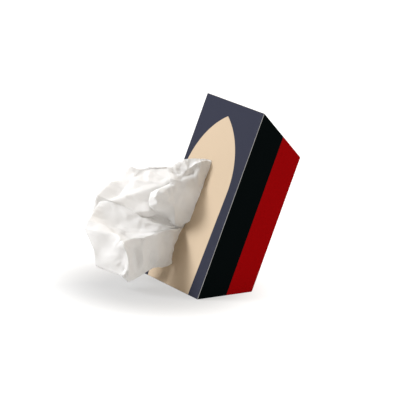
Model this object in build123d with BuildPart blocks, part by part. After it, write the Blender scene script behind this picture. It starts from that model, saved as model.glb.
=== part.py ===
from build123d import *
from math import atan2, cos, hypot, inf, sin
import os

# A tissue carton in the form of a ship's hull, standing on its raked stern end.
# X runs across the slot face to the right, Y to the rear, Z up; the origin is the middle of the foot.

# Carton, mm
face_length = 230.0        # slot face, from its foot edge to its crown edge
carton_width = 115.0       # over the two long sides
carton_depth = 74.3        # slot face to back panel
foot_rake = 26.4           # how far the back panel starts short of the slot face at the foot
crown_rake = 34.6          # and how far it stops short at the crown
board = 0.5                # paperboard
fold_radius = 0.8          # outside of a crease
flap_relief = 0.9          # strip left bare round the outer end flaps
dust_flap = 38.0           # side flaps tucked behind the end flaps
glue_flap = 14.0           # seam inside the far long side

# Die-cut slot in the slot face, measured from the middle of that face
slot_length = 78.0
slot_width = 9.0
slot_across = -12.0
slot_up = 0.0

# Pile of folded tissues
pile_headspace = 7.3       # free depth between the pile and the slot face
pile_corner = 3.0          # rounding of its folded long edges
pile_clearance = 0.6       # to the board beside and above it
pile_seat = 0.3            # to the board that it stands on

# Tissue drawn out through the slot
bunch_thickness = 3.0      # gathered sheet in the slot
bunch_end_gap = 1.0        # to each end of the slot
tissue_wall = 0.8          # sheet with its fine crumpling

foot_lean = atan2(foot_rake, carton_depth)
crown_lean = atan2(crown_rake, carton_depth)
foot_depth = hypot(carton_depth, foot_rake)
half_width = carton_width / 2

# The side view is drawn in the slot face's own directions: x up the face, y out of it
foot_edge = Vector(0, -foot_depth / 2, 0)
up_face = Vector(0, sin(foot_lean), cos(foot_lean))
out_of_face = Vector(0, -cos(foot_lean), sin(foot_lean))
side_plane = Plane(origin=foot_edge, x_dir=up_face, z_dir=(1, 0, 0))
face_plane = Plane(origin=foot_edge + up_face * (face_length / 2), x_dir=(1, 0, 0), z_dir=out_of_face)


def side_outline(shallow, deep, end_wall):
    """Corners of the side view between two depths below the slot face, its ends set in by end_wall."""

    def ends(depth):
        share = depth / carton_depth
        foot = foot_rake * share + end_wall / cos(foot_lean)
        crown = face_length - crown_rake * share - end_wall / cos(crown_lean)
        return foot, crown

    (foot, crown), (deep_foot, deep_crown) = ends(shallow), ends(deep)
    return (foot, -shallow), (crown, -shallow), (deep_crown, -deep), (deep_foot, -deep)


end_walls = 2 * board                    # outer end flap over the inner one
inner_ends = end_walls + board           # and the dust flaps behind both
back_inside = carton_depth - board
relief_start = carton_depth - flap_relief
pile_depth = board + pile_headspace      # the pile's front, below the slot face
pile_thickness = back_inside - pile_depth

with BuildPart() as carton:
    with BuildSketch(side_plane):
        Polygon(*side_outline(0, carton_depth, 0), align=None)
    extrude(amount=half_width, both=True)
    fillet(carton.edges(), fold_radius)
    with BuildSketch(side_plane):
        Polygon(*side_outline(board, back_inside, end_walls), align=None)
    extrude(amount=half_width - board, both=True, mode=Mode.SUBTRACT)
    # Dust flaps, folded in from the long sides behind both ends
    for side in (-1, 1):
        with BuildSketch(side_plane.offset(side * (half_width - board))):
            Polygon(*side_outline(board, back_inside, end_walls), align=None)
            Polygon(*side_outline(board, back_inside, inner_ends), align=None, mode=Mode.SUBTRACT)
        extrude(amount=-side * dust_flap)
    # Glue seam, folded up from the back panel inside the far long side
    with BuildSketch(side_plane.offset(board - half_width)):
        Polygon(*side_outline(back_inside - glue_flap, back_inside, inner_ends), align=None)
    extrude(amount=board)
    # Rebates where the outer end flaps stop short of the long sides and of the back panel
    for side in (-1, 1):
        with BuildSketch(side_plane.offset(side * (half_width - flap_relief))):
            Polygon(*side_outline(0, carton_depth, 0), align=None)
            Polygon(*side_outline(0, carton_depth, board), align=None, mode=Mode.SUBTRACT)
        extrude(amount=side * flap_relief, mode=Mode.SUBTRACT)
    with BuildSketch(side_plane):
        Polygon(*side_outline(relief_start, carton_depth, 0), align=None)
        Polygon(*side_outline(relief_start, carton_depth, board), align=None, mode=Mode.SUBTRACT)
    extrude(amount=half_width, both=True, mode=Mode.SUBTRACT)
    with BuildSketch(face_plane):
        with Locations((slot_across, slot_up)):
            SlotOverall(slot_length, slot_width, rotation=90)
    extrude(amount=-end_walls, mode=Mode.SUBTRACT)
carton.part.label = "carton"

# The pile leans on the back panel and stands on the dust flaps at the foot
pile_bottom, pile_top = (corner[0] for corner in side_outline(back_inside, back_inside, inner_ends)[:2])
pile_length = pile_top - pile_bottom - pile_seat - pile_clearance
pile_width = carton_width - 3 * board - 2 * pile_clearance
pile_middle_across = board / 2

with BuildPart() as tissue_pile:
    with BuildSketch(side_plane.offset(pile_middle_across)):
        with Locations((pile_bottom + pile_seat, -back_inside)):
            Rectangle(pile_length, pile_thickness, align=(Align.MIN, Align.MIN))
    extrude(amount=pile_width / 2, both=True)
    fillet(tissue_pile.edges().filter_by(lambda edge: abs(edge.length - pile_length) < board), pile_corner)
tissue_pile.part.label = "tissue_pile"

# Creases of the drawn tissue, each from the slot to the free edge. A crease starts at a share of the
# slot's half length; its points are how far across, up and out of the middle of the slot they lie
near_creases = [
    (1.00, [(-1, 40, 8), (-8, 35, 22), (-12, 30, 29), (-13, 27, 31), (-14, 22, 33)]),
    (0.96, [(3, 39, 10), (2, 26, 24), (-3, 15, 31), (-7, 12, 36), (-11, 11, 41)]),
    (0.75, [(5, 22, 9), (5, 13, 24), (4, 5, 36), (3, 3, 41), (0, 0, 43)]),
    (0.48, [(5, 12, 10), (6, 6, 27), (6, -1, 44), (5, -5, 53), (-3, -5, 54)]),
    (-0.18, [(5, -11, 15), (7, -13, 35), (9, -17, 53), (8, -21, 61), (-3, -23, 61)]),
    (-0.45, [(5, -21, 14), (7, -19, 34), (6, -24, 48), (5, -27, 54), (-4, -30, 57)]),
    (-0.90, [(4, -39, 10), (3, -43, 18), (-4, -40, 29), (-7, -37, 37), (-10, -38, 42)]),
    (-1.00, [(-1, -43, 6), (-5, -45, 14), (-13, -45, 27), (-16, -44, 31), (-19, -46, 33)]),
]
foot_creases = [
    [(-3, -45, 6), (-13, -48, 17), (-24, -50, 28), (-28, -47, 33), (-33, -42, 36)],
    [(-5, -46, 8), (-19, -50, 37), (-22, -48, 50), (-32, -39, 92), (-46, -40, 102)],
    [(-4, -49, 11), (-12, -64, 48), (-8, -64, 67), (-26, -58, 98), (-40, -59, 107)],
    [(-3, -51, 14), (-2, -73, 61), (3, -75, 84), (-22, -70, 99), (-39, -73, 108)],
    [(0, -52, 18), (5, -76, 75), (8, -79, 89), (-5, -95, 97), (-24, -102, 94)],
    [(0, -53, 18), (6, -77, 77), (9, -81, 88), (6, -108, 91), (-8, -118, 95)],
    [(0, -53, 19), (6, -78, 78), (12, -84, 83), (20, -106, 72), (22, -121, 70)],
    [(1, -53, 18), (5, -73, 64), (12, -85, 67), (15, -107, 57), (17, -117, 57)],
    [(2, -51, 15), (5, -66, 46), (10, -77, 47), (11, -98, 39), (11, -106, 40)],
    [(2, -50, 11), (6, -61, 27), (9, -72, 24), (10, -90, 19), (9, -96, 18)],
    [(3, -48, 3), (3, -59, 2), (4, -67, 4), (4, -84, 2), (4, -89, 2)],
    [(1, -51, 4), (-3, -68, 8), (-6, -77, 13), (-13, -95, 25), (-14, -104, 31)],
]
far_creases = [
    (-1.00, [(-5, -53, 5), (-21, -75, 18), (-30, -86, 26), (-42, -102, 44), (-45, -109, 53)]),
    (-0.97, [(-8, -49, 11), (-27, -69, 32), (-36, -78, 43), (-50, -89, 64), (-54, -91, 74)]),
    (-0.90, [(-9, -45, 15), (-30, -56, 39), (-40, -60, 52), (-54, -63, 76), (-58, -62, 87)]),
    (-0.76, [(-8, -38, 18), (-28, -40, 34), (-37, -44, 39), (-53, -52, 61), (-60, -51, 83)]),
    (-0.60, [(-7, -28, 21), (-20, -29, 47), (-30, -33, 56), (-50, -42, 78), (-59, -44, 89)]),
    (-0.10, [(-7, -10, 26), (-25, -12, 46), (-35, -14, 55), (-53, -29, 71), (-61, -33, 85)]),
    (0.16, [(-7, -1, 24), (-26, -2, 42), (-36, -4, 49), (-53, -17, 64), (-61, -22, 76)]),
    (0.70, [(-6, 21, 16), (-23, 16, 28), (-33, 13, 34), (-50, 5, 50), (-57, 1, 61)]),
    (0.97, [(-4, 36, 8), (-13, 31, 20), (-17, 27, 24), (-24, 19, 30), (-27, 16, 32)]),
]

bunch_half_length = slot_length / 2 - bunch_end_gap
slot_middle = face_plane.from_local_coords(Vector(slot_across, slot_up))


def tissue_point(across, up, out):
    return slot_middle + Vector(across, 0, 0) + up_face * up + out_of_face * out


def column(across, up, points):
    """A crease from the pile, through the slot and out along its points."""
    through_slot = [(across, up, -pile_depth), (across, up, 0)]
    return [tissue_point(*point) for point in through_slot + points]


def outward_normals(before, line, after):
    """Normal at every point of a column, from its neighbours along it and beside it."""
    normals = []
    last = len(line) - 1
    for row in range(len(line)):
        along = line[min(row + 1, last)] - line[max(row - 1, 0)]
        normals.append(along.cross(after[row] - before[row]).normalized())
    return normals


def triangle(*corners):
    return Face(Wire.make_polygon(corners, close=True))


def strip(first, second):
    """Triangles between two lines of points, each step over the shorter diagonal."""
    faces = []
    i = j = 0
    while i < len(first) - 1 or j < len(second) - 1:
        step_first = (first[i + 1] - second[j]).length if i < len(first) - 1 else inf
        step_second = (first[i] - second[j + 1]).length if j < len(second) - 1 else inf
        if step_first <= step_second:
            faces.append(triangle(first[i], first[i + 1], second[j]))
            i += 1
        else:
            faces.append(triangle(first[i], second[j + 1], second[j]))
            j += 1
    return faces


half_bunch = bunch_thickness / 2
fan_steps = len(foot_creases) + 1
creases = [column(half_bunch, share * bunch_half_length, points) for share, points in near_creases]
for step, points in enumerate(foot_creases, start=1):
    creases.append(column(half_bunch - bunch_thickness * step / fan_steps, -bunch_half_length, points))
creases += [column(-half_bunch, share * bunch_half_length, points) for share, points in far_creases]
mouth_row = len(creases[0]) // 2                 # the tissue stands open from there to its free edge
inside = []
for before, line, after in zip(creases[-1:] + creases, creases, creases[1:] + creases[:1]):
    normals = outward_normals(before, line, after)
    inside.append([point - normal * tissue_wall for point, normal in zip(line, normals)][mouth_row:])
tissue_faces = [Face(Wire.make_polygon([line[0] for line in creases]))]
free_edge = [[outer[-1], inner[-1]] for outer, inner in zip(creases, inside)]
for this in range(len(creases)):
    tissue_faces += strip(creases[this - 1], creases[this])
    tissue_faces += strip(inside[this - 1], inside[this])
    tissue_faces += strip(free_edge[this - 1], free_edge[this])
mouth_floor = [line[0] for line in inside]
near_count = len(near_creases) + len(foot_creases)
tissue_faces += strip(mouth_floor[:near_count], mouth_floor[:near_count - 1:-1])

with BuildPart() as drawn_tissue:
    add(Solid(Shell(tissue_faces)))
drawn_tissue.part.label = "drawn_tissue"

os.makedirs("parts", exist_ok=True)
export_step(carton.part, "parts/carton.step")
export_step(tissue_pile.part, "parts/tissue_pile.step")
export_step(drawn_tissue.part, "parts/drawn_tissue.step")
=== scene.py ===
from math import atan2, cos, hypot, pi, radians, sin

import bpy
import numpy as np
from mathutils import Matrix, Vector


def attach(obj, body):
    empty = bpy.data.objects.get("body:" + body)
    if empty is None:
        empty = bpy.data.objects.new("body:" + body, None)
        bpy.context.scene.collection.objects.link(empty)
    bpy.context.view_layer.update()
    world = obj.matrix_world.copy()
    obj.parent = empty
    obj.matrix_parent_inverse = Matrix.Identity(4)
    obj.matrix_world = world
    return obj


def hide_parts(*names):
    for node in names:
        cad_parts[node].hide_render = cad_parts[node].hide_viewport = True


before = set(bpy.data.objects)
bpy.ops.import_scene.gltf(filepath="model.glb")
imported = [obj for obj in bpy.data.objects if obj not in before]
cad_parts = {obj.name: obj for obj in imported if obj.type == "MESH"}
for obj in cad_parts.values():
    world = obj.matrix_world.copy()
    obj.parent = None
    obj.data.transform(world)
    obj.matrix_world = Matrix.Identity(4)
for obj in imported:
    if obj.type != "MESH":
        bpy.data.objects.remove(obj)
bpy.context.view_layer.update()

# The camera stands 2.7 m off, in front of the slot face and well round to its right, and looks down
# a little. The picture is turned a few degrees, so that the box seems to lean to the right.

view_azimuth = radians(54.2)
view_elevation = radians(14.75)
view_roll = radians(4.0)
view_distance = 2.6635
view_target = Vector((0.0, -0.004, 0.102))
image_pixels = 400
focal_pixels = 2259.5
sensor_width = 36.0

looks_along = Vector((
    -sin(view_azimuth) * cos(view_elevation),
    cos(view_azimuth) * cos(view_elevation),
    -sin(view_elevation),
))
level_right = Vector((cos(view_azimuth), sin(view_azimuth), 0))
level_up = level_right.cross(looks_along)
image_right = level_right * cos(view_roll) + level_up * sin(view_roll)
image_up = image_right.cross(looks_along)

camera_data = bpy.data.cameras.new("camera")
camera_data.sensor_width = sensor_width
camera_data.lens = focal_pixels * sensor_width / image_pixels
camera = bpy.data.objects.new("camera", camera_data)
turn = Matrix((image_right, image_up, -looks_along)).transposed().to_4x4()
camera.matrix_world = Matrix.Translation(view_target - looks_along * view_distance) @ turn
bpy.context.collection.objects.link(camera)
bpy.context.scene.camera = camera

# The studio: a seamless white table, a soft key lamp in front on the left and a weaker one overhead,
# a warm lamp behind, a weak one on the far right, and faint warm light all round.

lamp_aim = (0, 0, 0.1)
plain_white = (1, 1, 1)
cool_white = (0.985, 1.0, 1.03)
warm_white = (1.0, 0.88, 0.74)
warm_surround = (1.0, 0.87, 0.72, 1)
surround_strength = 0.31
backdrop_white = (1, 1, 1, 1)

floor_half = 6.0
floor_lights_object = 0.5    # its paleness as the object sees it
floor_under_glow = 0.2       # its paleness as the camera sees it, without its glow
# A painted shadow on the table: its glow is lower in a pool around the foot
painted_shadow_middle = (-0.004, -0.058, 0)
painted_shadow_core = 0.055            # radius inside which the painted shadow on the table is greyest
painted_shadow_edge = 0.175            # radius outside which the table is white, with no painted shadow
painted_shadow_glow = 0.48
table_glow = 1.0


def new_material(name):
    """A material with its tree and its Principled shader."""
    material = bpy.data.materials.new(name)
    material.use_nodes = True
    return material, material.node_tree, material.node_tree.nodes["Principled BSDF"]


def node(tree, kind, *inputs, **settings):
    """A node whose inputs are given in order: a link, a value, or None to leave it."""
    made = tree.nodes.new(kind)
    for name, value in settings.items():
        setattr(made, name, value)
    for socket, value in zip(made.inputs, inputs):
        if isinstance(value, bpy.types.NodeSocket):
            tree.links.new(value, socket)
        elif value is not None:
            socket.default_value = value
    return made


def maths(tree, operation, *values):
    return node(tree, "ShaderNodeMath", *values, operation=operation).outputs[0]


def seen_by(tree, *kinds):
    """1 for the kinds of ray that are named, and 0 for all others."""
    rays = node(tree, "ShaderNodeLightPath").outputs
    seen = rays[kinds[0]]
    for kind in kinds[1:]:
        seen = maths(tree, "MAXIMUM", seen, rays[kind])
    return seen


def link_lamp(name, size, watts, position, colour):
    data = bpy.data.lights.new(name, "AREA")
    data.shape = "SQUARE"
    data.size = size
    data.energy = watts
    data.color = colour
    lamp = bpy.data.objects.new(name, data)
    facing = (Vector(position) - Vector(lamp_aim)).to_track_quat("Z", "Y")
    lamp.matrix_world = Matrix.Translation(position) @ facing.to_matrix().to_4x4()
    bpy.context.collection.objects.link(lamp)


link_lamp("key_lamp", size=0.6, watts=36, position=(-0.9, -1.5, 1.1), colour=cool_white)
link_lamp("overhead_lamp", size=0.6, watts=6, position=(-0.35, -0.4, 1.6), colour=plain_white)
link_lamp("back_lamp", size=1, watts=30, position=(0.1, 1.5, 1.4), colour=warm_white)
link_lamp("fill_lamp", size=1, watts=10, position=(1.7, 1.0, 0.5), colour=plain_white)

world = bpy.data.worlds.new("studio")
bpy.context.scene.world = world
world.use_nodes = True
tree = world.node_tree
surround = tree.nodes["Background"]
surround.inputs["Color"].default_value = warm_surround
surround.inputs["Strength"].default_value = surround_strength
seen = seen_by(tree, "Is Camera Ray", "Is Glossy Ray", "Is Transmission Ray")
backdrop = node(tree, "ShaderNodeBackground", backdrop_white, 1.0)
either = node(tree, "ShaderNodeMixShader", seen, surround.outputs[0], backdrop.outputs[0])
tree.links.new(either.outputs[0], tree.nodes["World Output"].inputs["Surface"])

floor_mesh = bpy.data.meshes.new("floor")
floor_signs = ((-1, -1), (1, -1), (1, 1), (-1, 1))
floor_corners = [(floor_half * x, floor_half * y, 0) for x, y in floor_signs]
floor_mesh.from_pydata(floor_corners, [], [(0, 1, 2, 3)])
floor = bpy.data.objects.new("floor", floor_mesh)
bpy.context.collection.objects.link(floor)
floor_white, tree, shader = new_material("floor_white")
shader.inputs["Roughness"].default_value = 0.9
shader.inputs["Specular IOR Level"].default_value = 0.1
shader.inputs["Emission Color"].default_value = (1, 1, 1, 1)
seen = seen_by(tree, "Is Camera Ray", "Is Glossy Ray")
# Painted shadow: the table's glow is weaker in a pool around the foot, so it goes grey there, and is
# white further out
place = node(tree, "ShaderNodeTexCoord").outputs["Object"]
distance = node(tree, "ShaderNodeVectorMath", place, painted_shadow_middle, operation="DISTANCE").outputs["Value"]
painted_shadow_pool = node(
    tree, "ShaderNodeMapRange", distance, painted_shadow_core, painted_shadow_edge, painted_shadow_glow, table_glow,
    interpolation_type="SMOOTHSTEP",
)
glow = maths(tree, "MULTIPLY", seen, painted_shadow_pool.outputs[0])
shade = node(tree, "ShaderNodeMapRange", seen, 0.0, 1.0, floor_lights_object, floor_under_glow)
tree.links.new(shade.outputs[0], shader.inputs["Base Color"])
tree.links.new(glow, shader.inputs["Emission Strength"])
floor_mesh.materials.append(floor_white)

# Carton: one blank of printed paperboard, folded and glued into a hull that stands on its raked stern.
# The slot face is the deck, navy with a pale pointed arch, and the sides are black next to the deck
# and red next to the back panel.

face_length = 0.230
carton_width = 0.115
carton_depth = 0.0743
foot_rake = 0.0264
crown_rake = 0.0346
ink_depth = 0.0004           # board below this is bare
arch_middle = -0.0047
arch_half_width = 0.047
arch_spring = 0.130          # height at which the sides of the arch begin to turn in
arch_radius = 0.095
arch_taper = 0.034           # each side leans in toward the foot by this share of the height
red_starts = 0.522           # share of the depth
edge_mark_width = 0.0005           # width of the pale line to each side of a fold, and of the bare cut edge at the crown
print_edge = 0.00015         # half the soft width between two inks
board_edge = 0.0001          # half the soft width at a fold or a cut

arch_beige = (0.605, 0.485, 0.352, 1)
deck_navy = (0.038, 0.041, 0.062, 1)
side_black = (0.0006, 0.0020, 0.0022, 1)
side_red = (0.345, 0.0010, 0.0022, 1)
pale_fold_line = (0.45, 0.46, 0.46, 1)
bare_board = (0.30, 0.23, 0.20, 1)

grain_scale = 1400.0
grain_detail = 3.0
grain_roughness = 0.6
grain_spread = (0.3, 0.7)    # the noise is mostly between these
grain_tint = (0.97, 1.03)    # darkest and lightest
grain_bump = 0.12
grain_height = 0.0002

foot_lean = atan2(foot_rake, carton_depth)
foot_depth = hypot(carton_depth, foot_rake)
foot_edge = Vector((0, -foot_depth / 2, 0))
up_face = Vector((0, sin(foot_lean), cos(foot_lean)))
out_of_face = Vector((0, -cos(foot_lean), sin(foot_lean)))


def face_directions(tree):
    """The place itself, then across, up and out of the slot face, from the middle of its foot edge."""
    place = node(tree, "ShaderNodeTexCoord").outputs["Object"]
    shift = (0, -foot_edge.dot(up_face), -foot_edge.dot(out_of_face))
    turn_back = (foot_lean - pi / 2, 0, 0)
    turned = node(tree, "ShaderNodeMapping", place, shift, turn_back, vector_type="POINT")
    parts = node(tree, "ShaderNodeSeparateXYZ", turned.outputs[0])
    return turned.outputs[0], parts.outputs[0], parts.outputs[1], parts.outputs[2]


def mix_colour(tree, share, first, second):
    made = node(tree, "ShaderNodeMix", data_type="RGBA")
    for socket, value in ((made.inputs[0], share), (made.inputs[6], first), (made.inputs[7], second)):
        if isinstance(value, bpy.types.NodeSocket):
            tree.links.new(value, socket)
        else:
            socket.default_value = value
    return made.outputs[2]


def step_up(tree, value, edge, soft):
    """0 below an edge and 1 above it, over a soft width."""
    made = node(
        tree, "ShaderNodeMapRange", value, edge - soft, edge + soft, 0.0, 1.0,
        interpolation_type="SMOOTHSTEP",
    )
    return made.outputs[0]


def printed_board():
    material, tree, shader = new_material("printed_board")
    place, across, up, out = face_directions(tree)
    # Pointed arch: inside both circles, whose centres lie on the spring line
    above = maths(tree, "MAXIMUM", maths(tree, "SUBTRACT", up, arch_spring), 0.0)
    below = maths(tree, "MAXIMUM", maths(tree, "SUBTRACT", arch_spring, up), 0.0)
    rise_squared = maths(tree, "MULTIPLY", above, above)
    narrowing = maths(tree, "MULTIPLY", below, arch_taper)
    reach = []
    for side in (-1, 1):
        centre = arch_middle + side * (arch_half_width - arch_radius)
        sideways = maths(tree, "SUBTRACT", across, centre)
        squares = maths(tree, "ADD", maths(tree, "MULTIPLY", sideways, sideways), rise_squared)
        reach.append(maths(tree, "ADD", maths(tree, "SQRT", squares), narrowing))
    outside_arch = step_up(tree, maths(tree, "MAXIMUM", *reach), arch_radius, print_edge)
    face_ink = mix_colour(tree, outside_arch, arch_beige, deck_navy)
    # Sides, ends and back: black next to the slot face, red next to the back panel
    depth = maths(tree, "MULTIPLY", out, -1.0)
    is_red = step_up(tree, depth, carton_depth * red_starts, print_edge)
    side_ink = mix_colour(tree, is_red, side_black, side_red)
    on_face = step_up(tree, out, -ink_depth, board_edge)
    ink = mix_colour(tree, on_face, side_ink, face_ink)
    # A thin pale grey line runs along the two long folds of the slot face
    aside = maths(tree, "ABSOLUTE", across)
    near_side = step_up(tree, aside, carton_width / 2 - edge_mark_width, board_edge)
    near_face = step_up(tree, out, -edge_mark_width, board_edge)
    near_fold = maths(tree, "MULTIPLY", near_side, near_face)
    ink = mix_colour(tree, near_fold, ink, pale_fold_line)
    # Along the raked crown the cut edges show the board itself
    rise = maths(tree, "ADD", up, maths(tree, "MULTIPLY", depth, crown_rake / carton_depth))
    near_crown = step_up(tree, rise, face_length - edge_mark_width, board_edge)
    cut_edge = maths(tree, "MULTIPLY", near_crown, maths(tree, "MAXIMUM", near_side, near_face))
    ink = mix_colour(tree, cut_edge, ink, bare_board)
    # Fine grain of the board under the ink
    grain = node(tree, "ShaderNodeTexNoise", place, None, grain_scale, grain_detail, grain_roughness)
    tint = node(tree, "ShaderNodeMapRange", grain.outputs["Fac"], *grain_spread, *grain_tint)
    ink = node(tree, "ShaderNodeVectorMath", ink, None, None, tint.outputs[0], operation="SCALE")
    bump = node(tree, "ShaderNodeBump", grain_bump, grain_height, None, grain.outputs["Fac"])
    tree.links.new(bump.outputs[0], shader.inputs["Normal"])
    tree.links.new(ink.outputs["Vector"], shader.inputs["Base Color"])
    shader.inputs["Roughness"].default_value = 0.55
    shader.inputs["Specular IOR Level"].default_value = 0.012
    return material


board_print = printed_board()
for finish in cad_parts["carton"].material_slots:
    finish.material = board_print

# Pile of tissues: interfolded two-ply sheets, pressed into a block that stands loose in the carton.
# Only a little of it shows, past the drawn sheet in the slot.

pile_white = (0.85, 0.83, 0.79, 1)
fibre_scale = 900.0
fibre_detail = 4.0
fibre_roughness = 0.6
fibre_bump = 0.25
fibre_height = 0.0004


def folded_paper():
    material, tree, shader = new_material("pile_paper")
    place = node(tree, "ShaderNodeTexCoord").outputs["Object"]
    fibres = node(tree, "ShaderNodeTexNoise", place, None, fibre_scale, fibre_detail, fibre_roughness)
    bump = node(tree, "ShaderNodeBump", fibre_bump, fibre_height, None, fibres.outputs["Fac"])
    tree.links.new(bump.outputs[0], shader.inputs["Normal"])
    shader.inputs["Base Color"].default_value = pile_white
    shader.inputs["Roughness"].default_value = 0.9
    shader.inputs["Specular IOR Level"].default_value = 0.15
    return material


pile_paper = folded_paper()
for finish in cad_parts["tissue_pile"].material_slots:
    finish.material = pile_paper

# Drawn tissue: one two-ply sheet, gathered in the slot and popped open into a crumpled funnel. Its near
# wall stands up along the slot, its floor turns over a rim and hangs down, and its far wall leans away
# behind. It is held only by the slot.

mm = 0.001
slot_across = -0.012
pile_depth = 0.0078          # from the slot face down to the pile
sheet_thickness = 0.00025    # both plies, with the air between them
soft_sharpness = 0.25        # every fold of the sheet has at least this
edge_sharpness = 0.8         # of the sheet's free edge
smoothing_steps = 3
shading_break = radians(24)  # a fold steeper than this shades as a crease
lit_white = (0.935, 0.94, 0.945, 1)
through_white = (0.98, 0.97, 0.95, 1)
light_through = 0.38         # share of the light that passes through the sheet

# Every crease runs from the slot to the free edge. It is given as its place in the slot (across and up),
# its sharpness, and eight points (across, up and out of the slot's middle), all in millimetres
near_wall = [
    (1.5, 38, 0.7, [(2.5, 41, 2), (-1, 40, 7.5), (-5, 37.5, 14), (-8, 35, 21.5),
     (-11, 32.5, 26.5), (-12.5, 29.5, 28.5), (-13.5, 26.5, 31), (-14.5, 22, 33)]),
    (1.5, 38, 0, [(4, 40.5, 2), (0, 37.5, 10), (-3, 33.5, 15.5), (-5, 29.5, 21.5),
     (-6.5, 26.5, 28.5), (-9, 22.5, 34), (-12, 19, 39), (-14, 16, 43)]),
    (2.4, 37, 0.9, [(6.5, 38.5, 1), (6, 38.5, 12), (4, 32.5, 18), (2, 25.5, 23.5),
     (0, 19.5, 27), (-3, 14.5, 30.5), (-7, 12, 35.5), (-11, 10.5, 41)]),
    (3.2, 34, 0.4, [(7, 34.5, 0.5), (6.5, 30, 12), (3.5, 24.5, 16.5), (1.5, 19, 21.5),
     (1, 14, 27), (1, 10.5, 33.5), (0, 8, 38.5), (-2, 5.5, 42.5)]),
    (3.6, 28, 0, [(7, 28.5, 0.5), (8, 22, 11), (6.5, 18, 17.5), (5, 13, 23.5),
     (5, 8.5, 30.5), (4, 5, 36), (3, 2.5, 40.5), (0, 0, 43)]),
    (3.6, 18, 0, [(7, 18.5, 0.5), (8, 11.5, 12.5), (7, 9, 20), (6, 5.5, 27),
     (6.5, 2, 35), (6, -1.5, 44), (2, -6, 51.5), (-8, -10.5, 52)]),
    (3.6, 6, 0, [(7, 6, 0.5), (8, -1, 14.5), (7.5, -3, 22.5), (7, -5, 32.5),
     (8, -7, 43), (8, -9.5, 52.5), (3.5, -13.5, 58), (-12, -18, 55.5)]),
    (3.6, -6, 0, [(7, -6, 0.5), (8, -11.5, 17), (7.5, -12.5, 26), (7, -13.5, 34.5),
     (8, -15, 44), (9, -17, 53), (4, -21.5, 58.5), (-14, -24.5, 53.5)]),
    (3.6, -16, 0.75, [(7, -16.5, 0.5), (5, -21, 13.5), (5.5, -20.5, 23), (6.5, -17.5, 31),
     (6.5, -19, 40.5), (5.5, -22.5, 47.5), (2.5, -27, 51.5), (-14, -31.5, 49)]),
    (3.6, -25, 0, [(7, -26.5, 0.5), (4.5, -30.5, 11.5), (5, -30.5, 18), (6, -30, 25.5),
     (-1, -30.5, 28.5), (-8, -31, 33), (-12, -33.5, 40.5), (-18, -38, 41)]),
    (3.6, -33, 0.8, [(7, -34.5, 0.5), (4, -39, 9.5), (3.5, -42, 13.5), (1.5, -43.5, 16),
     (-8, -41, 17.5), (-13, -41, 22), (-16, -39, 30), (-19, -40, 36)]),
]
funnel_floor = [
    (0.5, -38, 0.5, [(0, -43.5, 3.5), (-1, -45.5, 7.5), (-2.5, -47, 9.5), (-5, -45.5, 14),
     (-9.5, -43.5, 19.5), (-14.5, -43, 26), (-17, -44, 30), (-20, -47, 31.5)]),
    (0.2, -38, 0, [(0, -44.5, 3.5), (-1, -46, 8), (-2, -48, 12), (-5.5, -48.5, 19.5),
     (-11, -48, 28), (-17, -48, 33.5), (-21, -46, 38.5), (-25, -42, 41.5)]),
]
flap = [
    (0, -38, 1, [(-0.5, -44.5, 3), (1.5, -47, 12.5), (-2.5, -49.5, 25.5), (-13, -50, 38),
     (-22.5, -48.5, 49.5), (-39, -44.5, 61.5), (-55, -41.5, 74), (-66, -41.5, 78)]),
    (-0.2, -38, 0, [(-0.5, -45.5, 3.5), (1, -47.5, 13), (-2, -53, 29), (-13.5, -56.5, 41),
     (-23, -56, 52), (-41, -50.5, 64.5), (-56, -48.5, 77), (-64, -51, 82.5)]),
    (-0.4, -38, 0, [(-0.5, -46, 4), (0.5, -48, 13), (-1.5, -56, 33), (-14.5, -63.5, 46.5),
     (-23.5, -65.5, 55), (-39, -59, 66.5), (-54, -56.5, 79.5), (-57, -60.5, 91)]),
    (-0.6, -38, 0.4, [(-0.5, -46.5, 4.5), (-1, -48.5, 12.5), (-1.5, -59, 34.5), (-13, -69.5, 49.5),
     (-22.5, -73, 60.5), (-35.5, -69.5, 69.5), (-48, -67.5, 81.5), (-51, -67.5, 96.5)]),
]
lobe = [
    (-0.7, -38, 0.7, [(0, -46.5, 4.5), (-0.5, -50, 16), (0, -63.5, 40.5), (-4, -72.5, 59),
     (-12, -76.5, 73), (-22, -72, 81.5), (-33, -70.5, 91), (-47, -73, 102.5)]),
    (-0.8, -38, 0.4, [(0, -47, 5.5), (0, -51, 17.5), (1, -64.5, 42.5), (3, -73.5, 67),
     (-4, -75.5, 82.5), (-17, -77, 89.5), (-26, -80.5, 97.5), (-48.5, -84, 101.5)]),
    (-0.8, -38, 0, [(0, -47.5, 6), (0.5, -51, 19), (2, -65, 44), (5, -75.5, 74.5),
     (4, -80, 86), (-10, -91, 84), (-20, -97, 86), (-27, -103, 93.5)]),
    (-0.8, -38, 0.3, [(0, -47.5, 6), (0.5, -51.5, 19), (2.5, -65, 45), (6, -76.5, 77.5),
     (5, -81.5, 84.5), (0.5, -97, 81), (-3, -109, 84), (-24, -120.5, 85)]),
    (-0.8, -38, 0, [(0.5, -47.5, 6.5), (1, -51.5, 19.5), (2.5, -65.5, 45.5), (6, -77, 78),
     (9, -81, 85.5), (13, -96.5, 78), (13.5, -109, 74.5), (13, -118, 75.5)]),
    (-0.8, -38, 0.9, [(0.5, -47.5, 7), (1, -51.5, 20), (3, -65.5, 46), (6.5, -77, 78.5),
     (12, -83, 84.5), (18, -94.5, 76.5), (20, -104.5, 73), (22, -122, 68.5)]),
]
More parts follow.
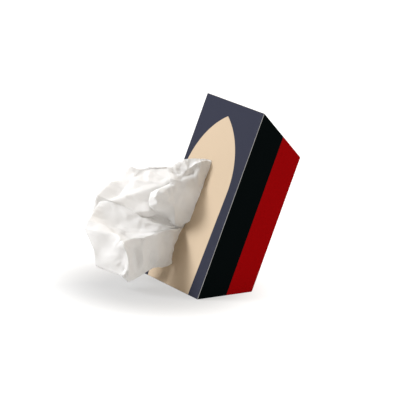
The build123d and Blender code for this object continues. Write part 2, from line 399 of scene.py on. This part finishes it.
hanging_wall = [
    (-0.8, -38, 0.5, [(1, -47.5, 7), (1, -51.5, 20), (3.5, -65, 46.5), (7, -75.5, 75.5),
     (11, -88, 76), (14, -100, 68), (17, -111, 65), (19, -122, 63)]),
    (-0.8, -38, 0.4, [(1, -47.5, 7), (1.5, -50.5, 18), (4, -62, 43.5), (8, -70.5, 67),
     (9, -86, 65), (9.5, -97.5, 56.5), (12, -107.5, 55), (16.5, -118, 56)]),
    (-0.8, -38, 0.7, [(1, -47.5, 6.5), (2, -49.5, 16.5), (4, -57.5, 36.5), (8, -67, 57),
     (13.5, -81, 58.5), (15.5, -93, 52.5), (15, -103, 50), (12.5, -113, 47)]),
    (-0.8, -38, 0.5, [(1, -47.5, 6), (2, -48.5, 14.5), (4, -54, 31), (7.5, -64.5, 48),
     (9, -77.5, 45.5), (8, -88.5, 38.5), (9, -98, 37.5), (11, -106.5, 39)]),
    (-0.8, -38, 0.6, [(1, -47, 5), (2, -48, 12.5), (4, -52, 25.5), (7, -59, 39.5),
     (10.5, -72.5, 36.5), (12.5, -84.5, 32), (12, -93, 31), (9.5, -99.5, 30)]),
    (-0.8, -38, 0.3, [(1, -47, 4.5), (2.5, -47.5, 10.5), (4, -50, 20.5), (6, -54, 30),
     (7.5, -68, 25), (8, -80.5, 19.5), (8.5, -89.5, 18.5), (8.5, -97, 17.5)]),
    (-0.8, -38, 0, [(1, -46, 3.5), (2.5, -47, 8), (4, -48.5, 14.5), (5, -51.5, 20.5),
     (8, -62.5, 18.5), (8.5, -76.5, 14), (7, -86, 10.5), (6.5, -93.5, 9)]),
    (-0.8, -38, 0, [(1.5, -46.5, 2), (2.5, -48.5, 2.5), (3, -53, 3), (3, -59.5, 1.5),
     (3.5, -67.5, 4), (3.5, -77, 3), (3.5, -84.5, 1.5), (3.5, -89.5, 1.5)]),
]
hidden_wall = [
    (-1.2, -38, 0, [(-2, -47.5, -0.5), (0.5, -51.5, 3.5), (-1, -59.5, 5.5), (-3, -68, 8),
     (-6, -77.5, 12.5), (-10, -86.5, 18), (-13, -95, 24.5), (-14, -104, 30.5)]),
    (-1.4, -38, 0, [(-2, -46, 2), (-5, -53, 5), (-12, -63.5, 11), (-21, -75.5, 18),
     (-30, -86, 25.5), (-37, -95.5, 35), (-42, -102.5, 43.5), (-45, -109.5, 52.5)]),
    (-1.5, -37, 0, [(-6, -43.5, 1.5), (-8, -49.5, 11), (-17, -59, 22), (-27, -69, 32),
     (-36, -78, 43), (-44, -85, 53), (-50, -89.5, 63.5), (-54, -91.5, 73.5)]),
]
far_wall = [
    (-1.5, -33, 0, [(-6, -40, 4), (-9, -45.5, 15), (-19, -52, 26.5), (-30, -56.5, 38.5),
     (-40, -60, 51.5), (-48, -62.5, 63), (-54, -63, 75.5), (-63, -62.5, 88.5)]),
    (-1.5, -28, 0.7, [(-6, -35.5, 5), (-8, -38, 17.5), (-17, -39, 27.5), (-12, -38.5, 46),
     (-20.5, -42.5, 51), (-30, -46.5, 56.5), (-53, -52, 61), (-65, -54, 87.5)]),
    (-1.5, -22, 0.9, [(-5, -29.5, 7), (-7, -28, 21), (-13, -27.5, 35.5), (-20, -29, 46.5),
     (-30, -33.5, 56), (-40, -40, 64.5), (-51, -44, 76.5), (-66, -43, 89)]),
    (-1.5, -14, 0, [(-4.5, -21, 9.5), (-7, -20.5, 24.5), (-14, -20.5, 38), (-23, -21, 48),
     (-33, -24, 56.5), (-42, -30, 66), (-50.5, -37, 70.5), (-66.5, -35, 83.5)]),
    (-1.5, -4, 0, [(-4.5, -11, 10), (-7, -10.5, 25.5), (-15, -10, 37), (-25, -12, 46),
     (-35, -14.5, 54.5), (-44, -21.5, 63.5), (-52.5, -28.5, 65.5), (-66.5, -23.5, 76)]),
    (-1.5, 6, 0.3, [(-4.5, -1, 9), (-7, -1, 24), (-15, -0.5, 33.5), (-26, -2, 42),
     (-36, -4.5, 49), (-45, -9, 57.5), (-52, -18.5, 61), (-66, -19, 66)]),
    (-1.5, 16, 0.5, [(-4.5, 9.5, 7.5), (-7, 10.5, 19.5), (-15, 9.5, 28.5), (-26, 7, 35),
     (-36, 4.5, 42), (-45, 1, 49.5), (-51.5, -8, 56.5), (-65, -9, 62)]),
    (-1.5, 26, 0.5, [(-4, 21.5, 6), (-6, 21, 15.5), (-13, 19, 22), (-23, 16, 27.5),
     (-33, 12.5, 34), (-42, 9, 41.5), (-49.5, 3.5, 53), (-61, 1.5, 60.5)]),
    (-1.5, 34, 0, [(-3, 31.5, 3.5), (-5, 31, 11), (-10, 28, 19), (-18, 24, 23.5),
     (-26, 19.5, 26.5), (-32, 15, 31), (-38, 12, 36.5), (-45, 8.5, 43.5)]),
    (-1.5, 37, 0, [(-1.5, 37, 2.5), (-4, 36, 8), (-8, 34, 15), (-13, 31, 19.5),
     (-17, 26.5, 24), (-21, 22.5, 27), (-24, 18.5, 30), (-27, 16, 32)]),
]
crease_groups = (near_wall, funnel_floor, flap, lobe, hanging_wall, hidden_wall, far_wall)
creases = [crease for group in crease_groups for crease in group]
# Folds that cross the creases: the first and last crease, the row of points, in which the slot's two
# rows count, and the sharpness
cross_folds = (
    (hanging_wall[0], hanging_wall[-2], 5, 0.6),       # rim
    (near_wall[1], near_wall[10], 2, 0.9),             # where it lies on the slot's edge
    (near_wall[5], near_wall[9], 8, 0.9),              # curled free edge
    (near_wall[8], near_wall[10], 5, 0.9),             # fold down to the foot of the slot
    (flap[0], flap[3], 6, 1.0),                        # the flap's right edge
    (lobe[1], lobe[5], 6, 0.5),                        # top of the lobe
    (far_wall[3], far_wall[7], 8, 0.6),                # ridge along the far wall's border
)

slot_middle = foot_edge + up_face * (face_length / 2) + Vector((slot_across, 0, 0))


def tissue_point(across, up, out):
    """A place given in millimetres from the middle of the slot."""
    return slot_middle + (Vector((across, 0, 0)) + up_face * up + out_of_face * out) * mm


def crease_line(across, up, points):
    root = [tissue_point(across, up, -pile_depth / mm), tissue_point(across, up, 0)]
    return root + [tissue_point(*point) for point in points]


def mark_creases(mesh, rows):
    """Sharpness of the folds, along the creases and across them."""
    sharp = mesh.attributes.new("crease_edge", "FLOAT", "EDGE")
    across = {}
    for first, last, row, sharpness in cross_folds:
        for line in range(creases.index(first), creases.index(last)):
            across[line, row] = sharpness
    for edge in mesh.edges:
        (line, row), (other_line, other_row) = (divmod(corner, rows) for corner in edge.vertices)
        if line == other_line:
            ends_free = max(row, other_row) == rows - 1
            value = max(creases[line][2], edge_sharpness if ends_free else soft_sharpness)
        elif row == rows - 1:
            value = edge_sharpness
        else:
            value = across.get((min(line, other_line), row), soft_sharpness)
        sharp.data[edge.index].value = value


gathered_at = (-2, -30, 0)   # millimetres from the slot's middle, where the folds run from
fold_stray = 0.6             # how far a fold turns from straight out of the slot
fold_stretch = (2, 5)        # half length, in half widths
fold_lean = (0.25, 0.75)     # where the ridge lies, so that one side is steep and one is shallow
fold_end = 1.5               # how bluntly a fold runs out at its two ends
layer_gap = 2.5              # half widths; a layer of the sheet further off than this moves less
fold_fade = 0.04             # folds within this distance of the slot are lower
pleat_fade = 0.009           # and so are those this near the tight pleats behind the rim
pleat_calm = 0.1             # share of that distance within which there are none


def crumple(points, normals, count, half_widths, steepness, seed):
    """Moves the sheet's points by many short straight folds, most of which run out from the slot."""
    random_folds = np.random.default_rng(seed)
    moved = np.zeros(len(points))
    neck = np.array(tissue_point(*gathered_at))
    for _ in range(count):
        centre = random_folds.integers(len(points))
        place, normal = points[centre], normals[centre]
        away = place - neck
        distance = np.linalg.norm(away)
        along = away / distance + random_folds.normal(0, fold_stray, 3)
        along -= normal * along.dot(normal)
        along /= np.linalg.norm(along)
        side = np.cross(normal, along)
        half_width = random_folds.uniform(*half_widths)
        half_length = half_width * random_folds.uniform(*fold_stretch)
        height = random_folds.uniform(*steepness) * half_width * random_folds.choice((-1, 1))
        lean = random_folds.uniform(*fold_lean)
        offset = points - place
        beside = offset @ side / half_width
        lengthwise = (offset @ along) / half_length
        ends = np.clip(1 - np.abs(lengthwise) ** fold_end, 0, None)
        # A fold leaves alone the layers of the sheet that pass behind it or face the other way
        off_sheet = np.abs(offset @ normal) / (layer_gap * half_width)
        reach = ends * np.clip(1.5 - off_sheet, 0, 1)
        facing = np.clip(2 * normals @ normal, 0, 1)
        tent = np.clip(np.minimum((1 + beside) / (2 * lean), (1 - beside) / (2 - 2 * lean)), 0, None)
        fade = min(1.0, distance / fold_fade)
        moved += height * tent * reach * facing * fade
    pleats = np.array([tissue_point(*point) for _, _, _, points_out in lobe for point in points_out[1:4]])
    nearest = np.min([np.linalg.norm(points - pleat, axis=1) for pleat in pleats], axis=0)
    calm = np.clip(nearest / pleat_fade - pleat_calm, 0, 1)
    return points + normals * (moved * calm)[:, None]


lines = [crease_line(across, up, points) for across, up, _, points in creases]
rows = len(lines[0])
net = bpy.data.meshes.new("tissue_net")
faces = []
for line in range(len(lines)):
    after = (line + 1) % len(lines)
    for row in range(rows - 1):
        here = line * rows + row
        there = after * rows + row
        faces.append((here, here + 1, there + 1, there))
net.from_pydata([point for line in lines for point in line], [], faces)
mark_creases(net, rows)
folded = bpy.data.objects.new("tissue_net", net)
bpy.context.collection.objects.link(folded)
smooth = folded.modifiers.new("smooth", "SUBSURF")
smooth.levels = smooth.render_levels = smoothing_steps
smoothed = folded.evaluated_get(bpy.context.evaluated_depsgraph_get())
tissue_mesh = bpy.data.meshes.new_from_object(smoothed)
tissue_mesh.name = "drawn_tissue_sheet"
bpy.data.objects.remove(folded)

places = np.array([vertex.co for vertex in tissue_mesh.vertices])
outward = np.array([vertex.normal for vertex in tissue_mesh.vertices])
places = crumple(places, outward, count=70, half_widths=(0.005, 0.010), steepness=(0.12, 0.30), seed=7)
places = crumple(places, outward, count=420, half_widths=(0.0015, 0.0038), steepness=(0.12, 0.38), seed=8)
tissue_mesh.vertices.foreach_set("co", places.ravel())
tissue_mesh.update()
tissue_mesh.shade_smooth()
tissue_mesh.set_sharp_from_angle(angle=shading_break)
tissue = bpy.data.objects.new("drawn_tissue_sheet", tissue_mesh)
bpy.context.collection.objects.link(tissue)
plies = tissue.modifiers.new("plies", "SOLIDIFY")
plies.thickness = sheet_thickness
plies.offset = 0


def tissue_paper():
    material, tree, shader = new_material("tissue_paper")
    shader.inputs["Base Color"].default_value = lit_white
    shader.inputs["Roughness"].default_value = 0.85
    shader.inputs["Specular IOR Level"].default_value = 0.1
    through = node(tree, "ShaderNodeBsdfTranslucent", through_white)
    both = node(tree, "ShaderNodeMixShader", light_through, shader.outputs[0], through.outputs[0])
    tree.links.new(both.outputs[0], tree.nodes["Material Output"].inputs["Surface"])
    return material


tissue_mesh.materials.append(tissue_paper())
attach(tissue, "root")
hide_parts("drawn_tissue")

bpy.context.scene.view_settings.view_transform = "Standard"
